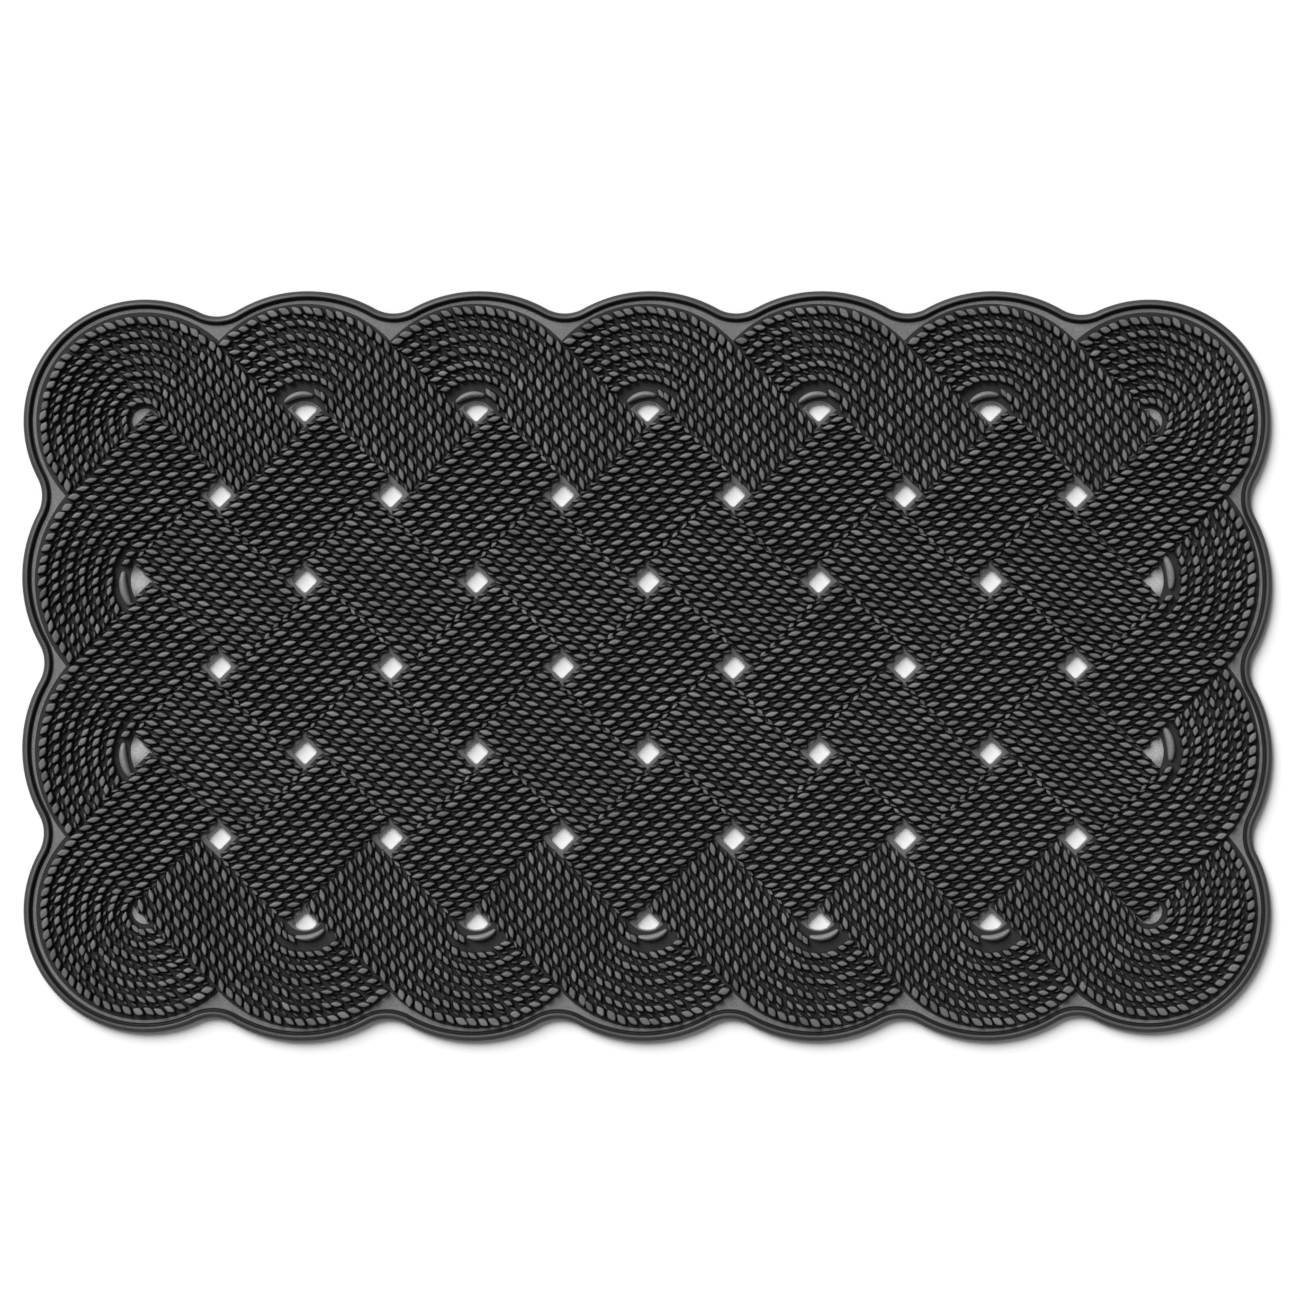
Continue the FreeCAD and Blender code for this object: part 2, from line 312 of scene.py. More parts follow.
def fill(loops, lines=()):
    """Triangulates the plane inside some closed loops, keeping to lines as well."""
    points, edges, start = [], [], 0
    for loop in loops:
        n = len(loop)
        points += [tuple(p) for p in loop]
        edges += [(start + i, start + (i + 1) % n) for i in range(n)]
        start += n
    for line in lines:
        points += [tuple(p) for p in line]
        edges += [(start + i, start + i + 1) for i in range(len(line) - 1)]
        start += len(line)
    found = geometry.delaunay_2d_cdt([Vector(p) for p in points], edges, [], 1, 1e-5)
    flat = np.array([tuple(p) for p in found[0]])
    for i, sources in enumerate(found[3]):
        if sources:
            flat[i] = points[sources[0]]
    return flat, np.array([tuple(f) for f in found[2]])


# ---------------------------------------------------------------- outline, holes and sheet

def outline_discs():
    """Centre and radius of each outline arc, clockwise from the corner at the low-X, high-Y end."""
    top_radius = WIDTH / 2 - ROWS * STEP + TOP_OUTLINE_INSET
    side_radius = LENGTH / 2 - COLUMNS * STEP + SIDE_OUTLINE_INSET
    inset = CORNER_OUTLINE_INSET
    half = [(grid(-COLUMNS, ROWS) + (inset, -inset), CORNER_OUTLINE_RADIUS)]
    for column in range(-4, 5, 2):
        half.append((grid(column, ROWS) + (OUTLINE_LEAN, -TOP_OUTLINE_INSET), top_radius))
    half.append((grid(COLUMNS, ROWS) - (inset, inset), CORNER_OUTLINE_RADIUS))
    for row in (1, -1):
        half.append((grid(COLUMNS, row) - (SIDE_OUTLINE_INSET, OUTLINE_LEAN), side_radius))
    return half + [(-c, r) for c, r in half]


def notch_centres(discs):
    """Centre of the hollow after each outline arc."""
    centres = []
    for i, (c1, r1) in enumerate(discs):
        c2, r2 = discs[(i + 1) % len(discs)]
        a, b = r1 + NOTCH_RADIUS, r2 + NOTCH_RADIUS
        d = np.linalg.norm(c2 - c1)
        u = (c2 - c1) / d
        along = (a * a - b * b + d * d) / (2 * d)
        centres.append(c1 + u * along + np.array([-u[1], u[0]]) * math.sqrt(a * a - along * along))
    return centres


DISCS = outline_discs()
NOTCHES = notch_centres(DISCS)
HUB = np.array([p for i in range(len(DISCS)) for p in (DISCS[i][0], NOTCHES[i])])


def bearing(vector):
    return math.atan2(vector[1], vector[0])


def outline():
    """Anticlockwise points round the edge and their outward directions, closer at the channels' mouths."""
    points, normals = [], []
    for i, (centre, radius) in enumerate(DISCS):
        before, after = NOTCHES[i - 1], NOTCHES[i]
        following = DISCS[(i + 1) % len(DISCS)][0]
        for c, r, a, b, sign in ((centre, radius, before - centre, after - centre, 1),
                                 (after, NOTCH_RADIUS, centre - after, following - after, -1)):
            start = bearing(a)
            sweep = ((bearing(b) - start) * sign % (2 * math.pi) - 2 * math.pi) * sign
            n = round(abs(sweep) * r / EDGE_SPACING / 4) * 4
            angles = start + sweep * np.arange(n) / n
            rays = np.column_stack([np.cos(angles), np.sin(angles)])
            keep = (np.arange(n) % 4 == 0) | (channel_distance(c + rays * r) < CHANNEL_EDGE + 1)
            points.append((c + rays * r)[keep])
            normals.append((rays * sign)[keep])
    return np.concatenate(points)[::-1], np.concatenate(normals)[::-1]


def channel_distance(points):
    """How far points are from the nearest channel's middle line."""
    points = np.asarray(points)
    x, y = points[:, 0], points[:, 1]
    nearest = np.full(len(points), 1e9)
    for s in (x + y, x - y):
        off = (s / STEP - 1) / 2
        nearest = np.minimum(nearest, np.abs(off - np.round(off)) * 2 * STEP / math.sqrt(2))
    return nearest


def underside(points):
    """Height of the sheet's lower face: zero, and higher in the channels, with rounded edges."""
    t = np.clip((CHANNEL_EDGE - channel_distance(points)) / (CHANNEL_EDGE - CHANNEL_FLOOR), 0, 1)
    return CHANNEL_DEPTH * t * t * (3 - 2 * t)


def inside(points, inset):
    """Whether points are inside the outline moved inwards."""
    points = np.asarray(points)
    within = np.zeros(len(points), bool)
    x, y = points[:, 0], points[:, 1]
    for (ax, ay), (bx, by) in zip(HUB, np.roll(HUB, -1, 0)):
        crosses = (ay > y) != (by > y)
        at = ax + (y - ay) * (bx - ax) / (by - ay if by != ay else 1e-12)
        within ^= crosses & (x < at)
    for centre in NOTCHES:
        within &= np.linalg.norm(points - centre, axis=1) > NOTCH_RADIUS + inset
    for centre, radius in DISCS:
        within |= np.linalg.norm(points - centre, axis=1) < radius - inset
    return within


def hole_places():
    return [(column, row) for row in range(-ROWS, ROWS + 1) for column in range(1 - COLUMNS, COLUMNS)
            if (column + row) % 2 == 1]


def hole_loop(column, row):
    """Anticlockwise points round a drain hole: a cornerwise square, cut by an arc at the long edges."""
    r = HOLE_CORNER
    flat = HOLE_HALF - r
    loop = []
    for corner in range(4):
        middle = turn([(flat, flat)], corner * math.pi / 2)[0]
        for angle in np.linspace(0, math.pi / 2, 4):
            loop.append(middle + r * unit(angle + corner * math.pi / 2))
        n = round(2 * flat / HOLE_SPACING)
        side = turn([(flat - 2 * flat * i / n, HOLE_HALF) for i in range(1, n)], corner * math.pi / 2)
        loop += list(side)
    loop = turn(loop, math.pi / 4)
    if abs(row) == ROWS:
        up = math.copysign(1, row)
        hub = np.array([0, -TOP_ARC_INSET * up])
        away = loop - hub
        distance = np.linalg.norm(away, axis=1)
        rim = hub + away / distance[:, None] * EDGE_HOLE_RADIUS
        loop = np.where((distance > EDGE_HOLE_RADIUS)[:, None], rim, loop)
        gap = np.linalg.norm(np.roll(loop, -1, 0) - loop, axis=1)
        loop = loop[gap > SHORTEST_SIDE]
    return grid(column, row) + loop


def in_hole(points):
    """Whether points are in a drain hole or between its rounded rims."""
    points = np.asarray(points)
    found = np.zeros(len(points), bool)
    for column, row in hole_places():
        off = turn(points - grid(column, row), -math.pi / 4)
        found |= np.abs(off).max(1) < HOLE_HALF + CLEAR_OF_HOLE
    return found


def base_sheet():
    skin = Skin()
    edge, out = outline()
    for profile in (SIDE_PROFILE, GROOVE_PROFILE):
        rings = []
        tones = [tone for inset, z, tone in profile]
        for inset, z, tone in profile:
            ring = edge - out * inset
            rings.append(level(ring, np.maximum(z, underside(ring)) if z < CHANNEL_DEPTH else z))
        if profile is SIDE_PROFILE:
            skin.loft(rings[::-1], tones=tones[::-1])
        else:
            skin.loft(rings, tones=tones)
    top_rims, low_rims = [], []
    for column, row in hole_places():
        loop = hole_loop(column, row)
        away = outward(loop)
        rings = []
        for offset, z, tone in HOLE_PROFILE:
            ring = loop + away * offset
            rings.append(level(ring, np.maximum(z, underside(ring)) if z < CHANNEL_DEPTH else z))
        skin.loft(rings, tones=[tone for offset, z, tone in HOLE_PROFILE])
        top_rims.append(rings[0][:, :2])
        low_rims.append(rings[-1][:, :2])

    pockets = pocket_places()
    rings = [circle(place, radius) for place, dust_and_sheen in pockets for radius in POCKET_RINGS]
    flat, faces = fill([edge - out * SHEET_START] + top_rims, rings)
    faces = facing(flat, faces, 1)
    faces = faces[~in_rims(flat[faces].mean(1), HOLE_PROFILE[0][0])]
    tones = np.ones(len(flat))
    # The pocket floors are lightened towards their middles: dust and a painted sheen
    for place, dust_and_sheen in pockets:
        near = 1 - (np.linalg.norm(flat - place, axis=1) / POCKET_RINGS[-1]) ** 2
        tones += (dust_and_sheen - 1) * near.clip(0, 1)
    skin.add(level(flat, SHEET_TOP), triangles=faces, tone=tones)

    inset = SIDE_PROFILE[-1][0]
    flat, faces = fill([edge - out * inset] + low_rims, channel_lines(inset + CLEAR_OF_EDGE))
    middle = flat[faces].mean(1)
    faces = faces[inside(middle, inset - 0.02) & ~in_rims(middle, HOLE_PROFILE[-1][0])]
    skin.add(level(flat, underside(flat)), triangles=facing(flat, faces, -1), tone=0.1)
    return skin.object("moulded_base_sheet")


def circle(centre, radius, sides=12):
    """Points round a circle, with the first one again at the end."""
    t = 2 * np.pi * np.arange(sides + 1) / sides
    return centre + radius * np.column_stack([np.cos(t), np.sin(t)])


def pocket_places():
    """Middle of each closed pocket at the ends and corners, and its lighter tone, for dust and a painted
    sheen.
    """
    places = []
    for column in (-COLUMNS, COLUMNS):
        for row in (-ROWS, -1, 1, ROWS):
            inwards = -np.sign([column, row]) * POCKET_INSET[abs(row)]
            places.append((grid(column, row) + inwards, POCKET_DUST_AND_SHEEN[abs(row)]))
    return places


def in_rims(points, offset):
    """Whether points are inside a drain hole's rim, moved outwards by an offset."""
    found = np.zeros(len(points), bool)
    for column, row in hole_places():
        near = np.abs(points - grid(column, row)).max(1) < 2 * HOLE_HALF
        if not near.any():
            continue
        loop = hole_loop(column, row)
        loop = loop + outward(loop) * offset
        x, y = points[near].T
        within = np.zeros(len(x), bool)
        for (ax, ay), (bx, by) in zip(loop, np.roll(loop, -1, 0)):
            crosses = (ay > y) != (by > y)
            at = ax + (y - ay) * (bx - ax) / (by - ay if by != ay else 1e-12)
            within ^= crosses & (x < at)
        found[near] |= within
    return found


def facing(flat, faces, sign):
    """Turns each triangle so that it faces up, or down if the sign is negative."""
    a, b, c = flat[faces[:, 0]], flat[faces[:, 1]], flat[faces[:, 2]]
    area = (b[:, 0] - a[:, 0]) * (c[:, 1] - a[:, 1]) - (b[:, 1] - a[:, 1]) * (c[:, 0] - a[:, 0])
    wrong = area * sign < 0
    faces[wrong] = faces[wrong][:, ::-1]
    return faces[np.abs(area) > 1e-7]


def channel_lines(inset):
    """Lines along the channels' rounded edges, as far as they are clear of the outline and the holes."""
    lines = []
    offsets = np.linspace(CHANNEL_FLOOR, CHANNEL_EDGE, CHANNEL_LINE_STEPS)
    for line in range(-2 * COLUMNS - 1, 2 * COLUMNS + 2, 2):
        for angle in (math.pi / 4, -math.pi / 4):
            along, across = unit(angle), unit(angle + math.pi / 2)
            for offset in np.concatenate([-offsets, offsets]):
                places = np.arange(-LENGTH, LENGTH, 1.0)
                run = grid(line, 0) + places[:, None] * along + offset * across
                good = inside(run, inset) & ~in_hole(run)
                for part in np.split(np.arange(len(run)), np.flatnonzero(np.diff(good.astype(int))) + 1):
                    if good[part[0]] and len(part) > 1:
                        lines.append(run[[part[0], part[-1]]])
    return lines


def border_lip():
    skin = Skin()
    edge, out = outline()
    rings = [level(edge - out * inset, z) for inset, z, tone in LIP_PROFILE]
    tones = [tone for inset, z, tone in LIP_PROFILE]
    skin.loft(rings + rings[:1], tones=tones + tones[:1])
    return skin.object("raised_border_lip")


# ---------------------------------------------------------------- bands of pins

def pin_shape(sides):
    """The pin's outline at unit half sizes: pointed at both ends, with full sides."""
    t = 2 * np.pi * np.arange(sides) / sides
    power = 2 / PIN_POINTEDNESS
    return np.column_stack([np.sign(np.cos(t)) * np.abs(np.cos(t)) ** power,
                            np.sign(np.sin(t)) * np.abs(np.sin(t)) ** power])


def add_pins(skin, pins, loose=1, profile=PIN_PROFILE, sides=PIN_SIDES, wear_and_sheen_rub=PIN_RUB):
    """Stands pins on a bed, each given as x, y, angle, length and width, and each a little its own way."""
    pins = np.array(pins)
    n = len(pins)
    angle = pins[:, 2] + rng.normal(0, TURN_SPREAD * loose, n)
    centre = pins[:, :2] + rng.normal(0, PLACE_SPREAD * loose, (n, 2)).clip(-FURTHEST_OFF, FURTHEST_OFF)
    lean = rng.normal(0, LEAN_SPREAD, (n, 2))
    half_length = pins[:, 3] / 2 * rng.normal(1, LENGTH_SPREAD * loose, n)
    half_width = pins[:, 4] / 2 * rng.normal(1, WIDTH_SPREAD * loose, n)
    wear = np.abs(rng.normal(0, WEAR_SPREAD, n))
    shape = pin_shape(sides)
    c, s = np.cos(angle)[:, None], np.sin(angle)[:, None]
    rings = []
    for z, growth, tone in profile:
        x = shape[None, :, 0] * (half_length + growth)[:, None]
        y = shape[None, :, 1] * (half_width + growth)[:, None]
        rise = max(0, z - SHEET_TOP) / (PIN_TOP - SHEET_TOP)
        px = centre[:, :1] + lean[:, :1] * rise + c * x - s * y
        py = centre[:, 1:] + lean[:, 1:] * rise + s * x + c * y
        pz = np.broadcast_to((z - wear * rise)[:, None], px.shape)
        rings.append(np.stack([px, py, pz], -1))
    rings = np.stack(rings, 1)
    rows = len(profile)
    quads = wall(rows, sides, sides)
    tops = rings[:, -1].mean(1, keepdims=True)
    block = np.concatenate([rings.reshape(n, rows * sides, 3), tops], 1)
    tones = np.append(np.repeat([tone for z, growth, tone in profile], sides), profile[-1][2])
    # Each pin's factor on its tone: random wear, and for the pads a higher mean, a painted sheen
    wear_and_sheen_factor = np.clip(rng.normal(*wear_and_sheen_rub, n), *RUB_LIMITS)
    last = (rows - 1) * sides
    caps = np.array([(last + m, last + (m + 1) % sides, rows * sides) for m in range(sides)])
    starts = np.arange(n)[:, None, None] * (rows * sides + 1)
    skin.add(block.reshape(-1, 3), quads=quads[None] + starts, triangles=caps[None] + starts,
             tone=(wear_and_sheen_factor[:, None] * tones).reshape(-1))


def add_ribs(skin, ribs, loose=1):
    add_pins(skin, ribs, loose, RIB_PROFILE, RIB_SIDES, RIB_RUB)


def add_bed(skin, corners):
    """The thin bed under a band's pins, with a rounded rim, near black as painted shade between the pins."""
    corners = np.asarray(corners)
    away = outward(corners)
    rings = [level(corners - away * inset, z) for inset, z in BED_PROFILE]
    skin.loft(rings, tones=BED_SHADE_TONE)
    flat, faces = fill([rings[-1][:, :2]])
    skin.add(level(flat, BED_TOP), triangles=facing(flat, faces, 1), tone=BED_SHADE_TONE)
    skin.add(level(corners, BED_PROFILE[0][1]), triangles=bottom(corners), tone=BED_SHADE_TONE)


def bottom(corners):
    flat, faces = fill([corners])
    order = [int(np.linalg.norm(corners - p, axis=1).argmin()) for p in flat]
    return facing(np.asarray(corners), np.array(order)[faces], -1)


def straight_pass(column, row):
    """A straight piece of band across one crossing; rising where the column is even, else falling."""
    rising = column % 2 == 0
    axis = math.pi / 4 if rising else -math.pi / 4
    lay = -LAY if rising else LAY
    centre = grid(column, row)
    u, w = unit(axis), unit(axis + math.pi / 2)
    pins, ribs, pads = [], [], []
    for cord in range(CORDS):
        for end in (1, -1):
            beside = (cord - (CORDS - 1) / 2) * CORD_PITCH - end * math.copysign(END_PAD_SHIFT, lay)
            if abs(beside) < HALF_BAND - CORD_PITCH / 2:
                place = centre + u * end * (PASS_HALF + END_PAD_BEYOND) + w * beside
                pads.append((*place, axis + math.pi / 2, END_PAD_LENGTH, END_PAD_WIDTH))
        for i in range(PASS_PINS):
            along = (i - (PASS_PINS - 1) / 2) * PIN_PITCH
            across = (cord - (CORDS - 1) / 2) * CORD_PITCH
            place = centre + u * along + w * across
            pins.append((*place, axis + lay, PIN_LENGTH, PIN_WIDTH))
            if cord > 0:
                ribs.append((*(place - w * CORD_PITCH / 2), axis + lay, RIB_LENGTH, RIB_WIDTH))
            if cord in (0, CORDS - 1):
                outwards = w * math.copysign(SIDE_RIB_BESIDE, cord - 1)
                ribs.append((*(place + outwards), axis + lay, SIDE_RIB_LENGTH, RIB_WIDTH))
    half, side = PASS_HALF - BED_SHORTER, HALF_BAND + BED_WIDER
    square = [(half, -side), (half, side), (-half, side), (-half, -side)]
    corners = turn(rounded_corners(square, BED_CORNER), axis) + centre
    skin = Skin()
    add_bed(skin, corners)
    add_pins(skin, pins)
    add_ribs(skin, ribs)
    add_pins(skin, pads, PAD_LOOSE, RIB_PROFILE, RIB_SIDES, PAD_RUB_AND_SHEEN)
    return skin


def rounded_corners(corners, radius):
    """A loop whose sharp corners are cut back and rounded with two extra points each."""
    corners = np.asarray(corners, float)
    loop = []
    for i, corner in enumerate(corners):
        before, after = corners[i - 1] - corner, corners[(i + 1) % len(corners)] - corner
        a, b = np.linalg.norm(before), np.linalg.norm(after)
        straight = (before / a) @ (after / b)
        if straight < -0.9 or min(a, b) < 2.2 * radius:
            loop.append(corner)
            continue
        p, q = corner + before / a * radius, corner + after / b * radius
        soft = (p + q) / 2 * 0.4 + corner * 0.6
        loop += [p, soft, q]
    return np.array(loop)


def bight_shape(kind):
    """Arc centre, arc radius, half angle and the next crossing, in the bight's local frame."""
    if kind == "top":
        return np.array([0, -TOP_ARC_INSET]), TOP_ARC_RADIUS, math.pi / 4, np.array([STEP, 0])
    if kind == "side":
        return np.array([0, -SIDE_ARC_INSET]), SIDE_ARC_RADIUS, math.pi / 4, np.array([STEP, 0])
    crossing = np.array([HALF_SPACING, -HALF_SPACING])
    return np.array([0, -CORNER_ARC_INSET]), CORNER_ARC_RADIUS, math.pi / 2, crossing


def leg_shift(kind):
    """How far the legs of a bight stand outside the grid's own band line."""
    centre, radius, half, crossing = bight_shape(kind)
    return radius + centre @ unit(math.pi / 2 - half) - HALF_SPACING


def bight(kind, before, column, row, degrees):
    """A band's turn at the edge: under the band before it, round its arc and over the next crossing."""
    centre, radius, half, crossing = bight_shape(kind)
    start, end = math.pi / 2 + half, math.pi / 2 - half
    over_dir, under_dir = unit(-half), unit(math.pi + half)
    over_length = (crossing - centre) @ over_dir + PASS_HALF
    under_crossing = np.array([-crossing[0], crossing[1]])
    under_length = (under_crossing - centre) @ under_dir - HALF_BAND - leg_shift(before) - GAP

    inner, outer = radius - HALF_BAND - BED_WIDER, radius + HALF_BAND + BED_BEYOND[kind]
    reach = over_dir * (over_length - BED_SHORTER)
    corners = [centre + unit(end) * inner + reach, centre + unit(end) * outer + reach]
    for r, forwards in ((outer, True), (inner - BED_INWARD[kind], False)):
        limit = start + (math.asin(under_length / r) if under_length < 0 else 0)
        n = max(4, round((limit - end) * r / BED_SPACING))
        arc = [centre + unit(end + (limit - end) * i / n) * r for i in range(n + 1)]
        if under_length > 0:
            arc.append(arc[-1] + under_dir * under_length)
        corners += arc if forwards else arc[::-1]

    has_bead = kind != "corner"
    leg, leg_ribs, arc, arc_ribs = [], [], [], []
    for cord in range(CORDS):
        cord_radius = radius + (cord - (CORDS - 1) / 2) * CORD_PITCH
        furrow = cord_radius - CORD_PITCH / 2
        leg += leg_pins(centre + unit(end) * cord_radius, over_dir, over_length, -half - LAY,
                        PIN_LENGTH, PIN_WIDTH)
        if cord > 0:
            leg_ribs += leg_pins(centre + unit(end) * furrow, over_dir, over_length, -half - LAY,
                                 RIB_LENGTH, RIB_WIDTH)
        if cord in (0, CORDS - 1):
            beside = cord_radius + math.copysign(SIDE_RIB_BESIDE, cord - 1)
            side_ribs = leg_pins(centre + unit(end) * beside, over_dir, over_length, -half - LAY,
                                 SIDE_RIB_LENGTH, RIB_WIDTH)
            leg_ribs += side_ribs[RIM_PINS:] if cord else side_ribs
        size = (OUTER_PIN_LENGTH, OUTER_PIN_WIDTH) if cord == CORDS - 1 else (BIGHT_PIN_LENGTH, PIN_WIDTH)
        if cord > 0 or not has_bead:
            arc += arc_pins(centre, cord_radius, start, end, under_length, *size)
        else:
            arc += arc_pins(centre, cord_radius, math.pi / 2 - BEAD_PINS_FROM, end, 0, *size)
        if cord > has_bead:
            arc_ribs += arc_pins(centre, furrow, start, end, under_length, BIGHT_RIB_LENGTH, RIB_WIDTH)

    angle = math.radians(degrees)
    place = grid(column, row)
    skin = Skin()
    add_bed(skin, turn(rounded_corners(corners, BED_CORNER), angle) + place)
    for add, stems, loose in ((add_pins, leg, LEG_LOOSE), (add_ribs, leg_ribs, 1),
                              (add_pins, arc, ARC_LOOSE), (add_ribs, arc_ribs, ARC_LOOSE)):
        placed = [(*(turn([(x, y)], angle)[0] + place), a + angle, *size) for x, y, a, *size in stems]
        add(skin, placed, loose)
    if has_bead:
        bead_radius = radius - (CORDS - 1) / 2 * CORD_PITCH - BEAD_INWARD[kind]
        add_bead(skin, kind, turn([centre], angle)[0] + place, bead_radius, angle)
    return skin


def leg_pins(start, direction, run, angle, length, width):
    """Pins along a straight leg, spread evenly between the arc's end and the leg's far end."""
    last = run - PASS_HALF + (PASS_PINS - 1) / 2 * PIN_PITCH
    count = round(last / PIN_PITCH + 0.5)
    pitch = last / (count - 0.5)
    return [(*(start + direction * (i + 0.5) * pitch), angle, length, width) for i in range(count)]


def arc_pins(centre, radius, start, end, under_length, full_length, width):
    """Pins round the arc, closer together on the inner cords, spread evenly as far as the band before."""
    share = min(1, radius / (TOP_ARC_RADIUS + HALF_BAND))
    pitch = BIGHT_PITCH_INNER + (BIGHT_PITCH_OUTER - BIGHT_PITCH_INNER) * share
    length = full_length - (1 - share) / 2
    last = start - math.asin((length / 2 * math.cos(LAY) - under_length) / radius)
    count = round((last - end) * radius / pitch + 0.5)
    pins = []
    for i in range(count):
        angle = end + (last - end) * (i + 0.5) / (count - 0.5)
        pins.append((*(centre + unit(angle) * radius), angle - math.pi / 2 - LAY, length, width))
    return pins


def add_bead(skin, kind, centre, radius, angle):
    """The smooth crescent bead: a half-round rib along an arc, thinning and dropping to its ends."""
    across = np.linspace(0, math.pi, BEAD_SIDES)
    rings = []
    for i in range(BEAD_STEPS + 1):
        t = i / BEAD_STEPS
        swell = math.sin(math.pi * t) ** BEAD_BLUNTNESS
        ray = unit(angle + math.pi / 2 - (BEAD_FROM[kind] + (BEAD_TO[kind] - BEAD_FROM[kind]) * t))
        half = BEAD_WIDTH[kind] / 2 * (BEAD_END_WIDTH + (1 - BEAD_END_WIDTH) * swell)
        height = (BEAD_TOP - BED_TOP + BEAD_SUNK) * (BEAD_END_HEIGHT + (1 - BEAD_END_HEIGHT) * swell)
        r = radius + np.cos(across) * half
        z = BED_TOP - BEAD_SUNK + np.sin(across) ** BEAD_FULLNESS * height
        rings.append(np.column_stack([centre[0] + ray[0] * r, centre[1] + ray[1] * r, z]))
    # The whole bead is painted light, a painted highlight
    skin.loft(rings, closed=False, tones=BEAD_HIGHLIGHT_TONE)
    for ring, flip in ((rings[0], False), (rings[-1], True)):
        middle = ring.mean(0)
        fan = np.array([(k, k + 1, len(ring)) for k in range(len(ring) - 1)])
        skin.add(np.vstack([ring, middle]), triangles=fan[:, ::-1] if flip else fan, tone=BEAD_HIGHLIGHT_TONE)


# ---------------------------------------------------------------- materials

def rubber(name, light_colour, roughness, grain):
    """Black moulded rubber with fine mould grain and faint patches of bloom, lighter by the tone, which
    holds painted light and shade as well as wear and dust.
    """
    material = bpy.data.materials.new(name)
    material.use_nodes = True
    nodes, links = material.node_tree.nodes, material.node_tree.links
    shader = nodes["Principled BSDF"]
    shader.inputs["Specular IOR Level"].default_value = 0.25
    place = nodes.new("ShaderNodeNewGeometry").outputs["Position"]

    def noise(scale, detail):
        node = nodes.new("ShaderNodeTexNoise")
        node.inputs["Scale"].default_value = scale
        node.inputs["Detail"].default_value = detail
        links.new(place, node.inputs["Vector"])
        return node.outputs["Fac"]

    def remap(value, a, b, c, d):
        node = nodes.new("ShaderNodeMapRange")
        for socket, number in zip(("From Min", "From Max", "To Min", "To Max"), (a, b, c, d)):
            node.inputs[socket].default_value = number
        links.new(value, node.inputs["Value"])
        return node.outputs["Result"]

    def times(a, b):
        node = nodes.new("ShaderNodeMath")
        node.operation = "MULTIPLY"
        links.new(a, node.inputs[0])
        links.new(b, node.inputs[1])
        return node.outputs["Value"]

    tone = nodes.new("ShaderNodeAttribute")
    tone.attribute_name = "tone"
    patches = remap(noise(18, 3), 0.3, 0.7, 0.86, 1.16)
    specks = remap(noise(900, 3), 0.3, 0.7, 0.78, 1.18)
    blend = nodes.new("ShaderNodeMix")
    blend.data_type = "RGBA"
    blend.clamp_factor = False
    links.new(times(tone.outputs["Fac"], times(patches, specks)), blend.inputs["Factor"])
    blend.inputs["A"].default_value = (*BLACK, 1)
    blend.inputs["B"].default_value = (*light_colour, 1)
    links.new(blend.outputs["Result"], shader.inputs["Base Color"])
    links.new(remap(noise(160, 4), 0.3, 0.7, roughness - 0.07, roughness + 0.09), shader.inputs["Roughness"])
    bump = nodes.new("ShaderNodeBump")
    bump.inputs["Strength"].default_value = grain
    bump.inputs["Distance"].default_value = 0.1 * MM
    links.new(noise(1500, 5), bump.inputs["Height"])
    links.new(bump.outputs["Normal"], shader.inputs["Normal"])
    return material


def plain_floor():
    material = bpy.data.materials.new("pale_floor")
    material.use_nodes = True
    shader = material.node_tree.nodes["Principled BSDF"]
    shader.inputs["Base Color"].default_value = (0.86, 0.86, 0.86, 1)
    shader.inputs["Roughness"].default_value = 0.9
    shader.inputs["Specular IOR Level"].default_value = 0.1
    return material


BLACK = (0.018, 0.018, 0.0184)
# One rubber in three copies, each with the light colour that part is to look: the sheet's is the highest, a
# painted sheen on its flat top, and the lip's the lowest
PIN_RUBBER = rubber("pin_rubber", (0.118, 0.118, 0.119), 0.46, 0.35)
SHEET_RUBBER = rubber("sheet_rubber", (0.165, 0.165, 0.166), 0.42, 0.25)
EDGE_RUBBER = rubber("edge_rubber", (0.085, 0.085, 0.086), 0.42, 0.25)


def finish_piece(piece, material, node):
    piece.data.materials.append(material)
    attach(piece, "root")
    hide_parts(node)


# ---------------------------------------------------------------- the mat

finish_piece(base_sheet(), SHEET_RUBBER, "base_sheet")
finish_piece(border_lip(), EDGE_RUBBER, "border_lip")


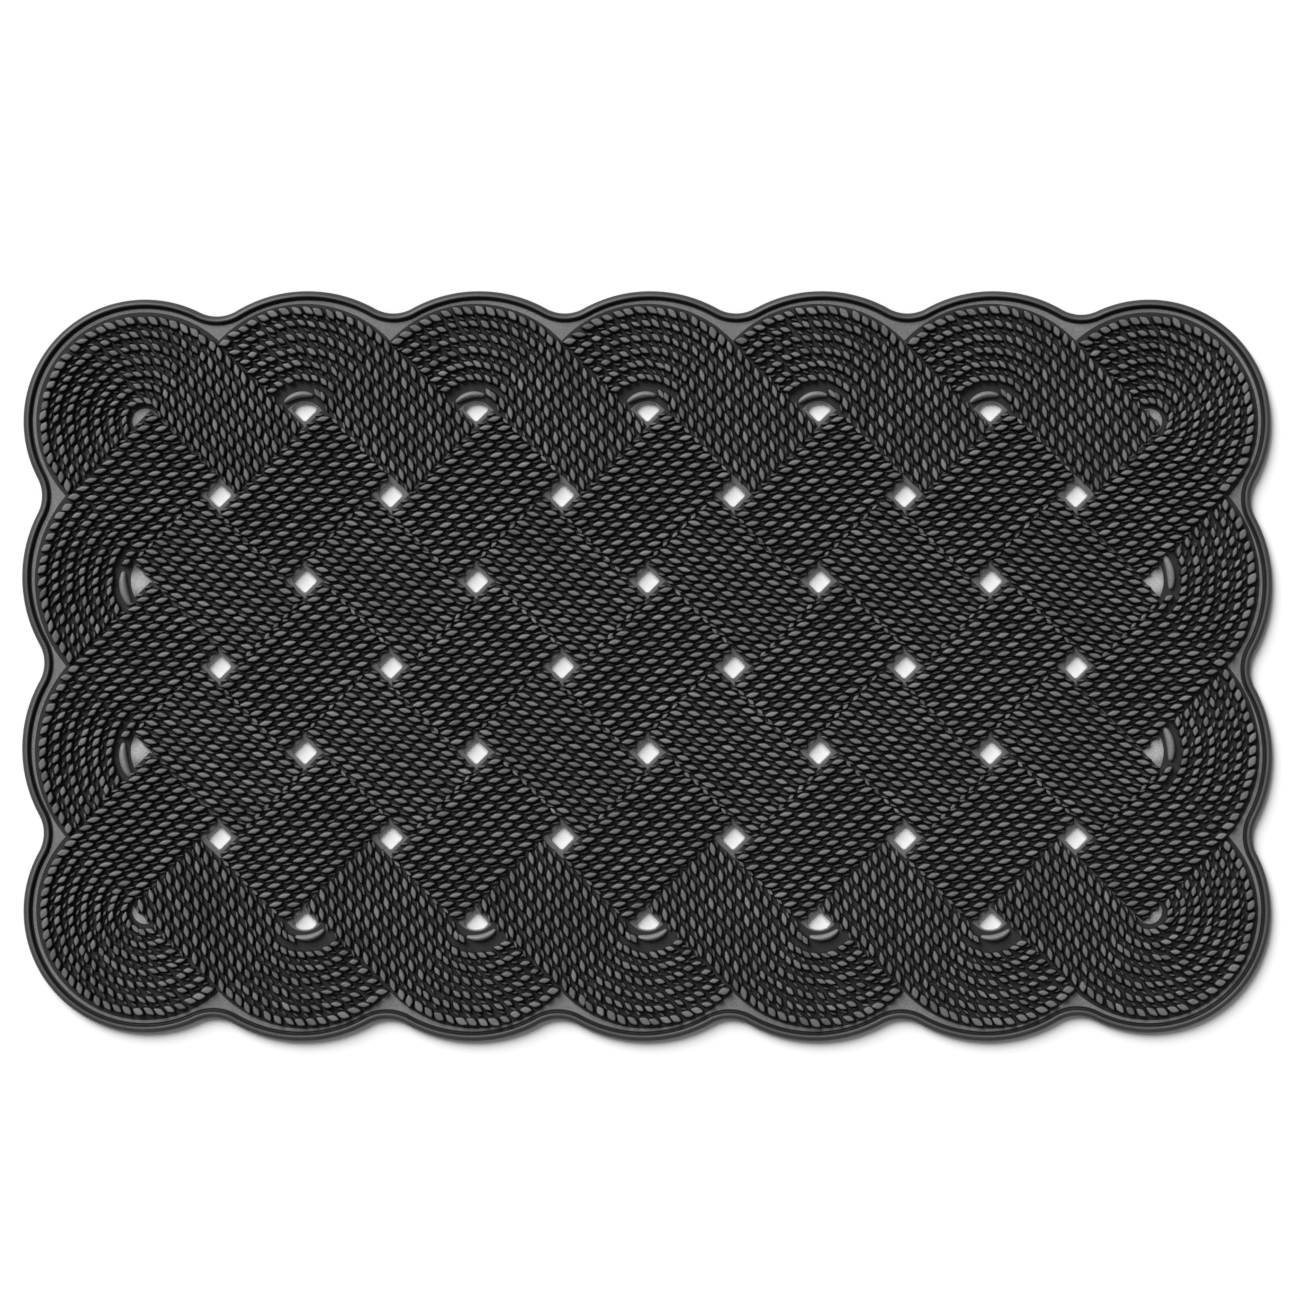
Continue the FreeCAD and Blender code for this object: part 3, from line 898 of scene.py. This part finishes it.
def band_pieces():
    """Each band piece's CAD node and its skin."""
    for row, name in ((2, "row1"), (0, "row2"), (-2, "row3")):
        for number, column in enumerate(range(-4, 5, 2), 1):
            yield f"rising_pass_{name}_{number}", straight_pass(column, row)
    for row, name in ((1, "row1"), (-1, "row2")):
        for number, column in enumerate(range(-5, 6, 2), 1):
            yield f"falling_pass_{name}_{number}", straight_pass(column, row)
    for number, column in enumerate(range(-4, 5, 2), 1):
        before = "corner" if number == 1 else "top"
        yield f"top_bight_{number}", bight("top", before, column, ROWS, 0)
        yield f"bottom_bight_{number}", bight("top", before, -column, -ROWS, 180)
    for number, (row, before) in enumerate(((-1, "corner"), (1, "side")), 1):
        yield f"left_bight_{number}", bight("side", before, -COLUMNS, row, 90)
        yield f"right_bight_{number}", bight("side", before, COLUMNS, -row, -90)
    for name, column, row, degrees, before in (("top_left", -COLUMNS, ROWS, 45, "side"),
                                               ("bottom_right", COLUMNS, -ROWS, -135, "side"),
                                               ("top_right", COLUMNS, ROWS, -45, "top"),
                                               ("bottom_left", -COLUMNS, -ROWS, 135, "top")):
        yield f"corner_bight_{name}", bight("corner", before, column, row, degrees)


for node, skin in band_pieces():
    finish_piece(skin.object(f"{node}_pins"), PIN_RUBBER, node)


# ---------------------------------------------------------------- floor, light and camera, in metres

FLOOR_HALF = 2.5
FLOOR_GAP = 0.0002
VIEW_WIDTH = 0.781
VIEW_MIDDLE = (0.0017, 0.0097)
FOCAL_LENGTH = 120
SENSOR_WIDTH = 36


def floor():
    mesh = bpy.data.meshes.new("floor")
    half = FLOOR_HALF
    corners = [(-half, -half, 0), (half, -half, 0), (half, half, 0), (-half, half, 0)]
    mesh.from_pydata(corners, [], [(0, 1, 2, 3)])
    piece = bpy.data.objects.new("floor", mesh)
    piece.location.z = -FLOOR_GAP
    piece.data.materials.append(plain_floor())
    bpy.context.scene.collection.objects.link(piece)


def soft_light(name, direction, strength, spread):
    """An even light from far away, as wide as a large soft box."""
    light = bpy.data.lights.new(name, "SUN")
    light.energy = strength
    light.angle = math.radians(spread)
    lamp = bpy.data.objects.new(name, light)
    lamp.rotation_euler = Vector(direction).to_track_quat("Z", "Y").to_euler()
    bpy.context.scene.collection.objects.link(lamp)


def camera():
    """A long lens that looks straight down."""
    lens = bpy.data.cameras.new("camera")
    lens.lens = FOCAL_LENGTH
    lens.sensor_width = SENSOR_WIDTH
    eye = bpy.data.objects.new("camera", lens)
    eye.location = (*VIEW_MIDDLE, VIEW_WIDTH * FOCAL_LENGTH / SENSOR_WIDTH)
    bpy.context.scene.collection.objects.link(eye)
    bpy.context.scene.camera = eye


def studio_world(strength):
    world = bpy.data.worlds.new("studio")
    world.use_nodes = True
    background = world.node_tree.nodes["Background"]
    background.inputs["Color"].default_value = (1, 1, 1, 1)
    background.inputs["Strength"].default_value = strength
    bpy.context.scene.world = world


floor()
soft_light("window", (-0.68, 0.92, 1.03), 4.5, 40)
camera()
studio_world(0.25)
bpy.context.scene.view_settings.view_transform = "Standard"
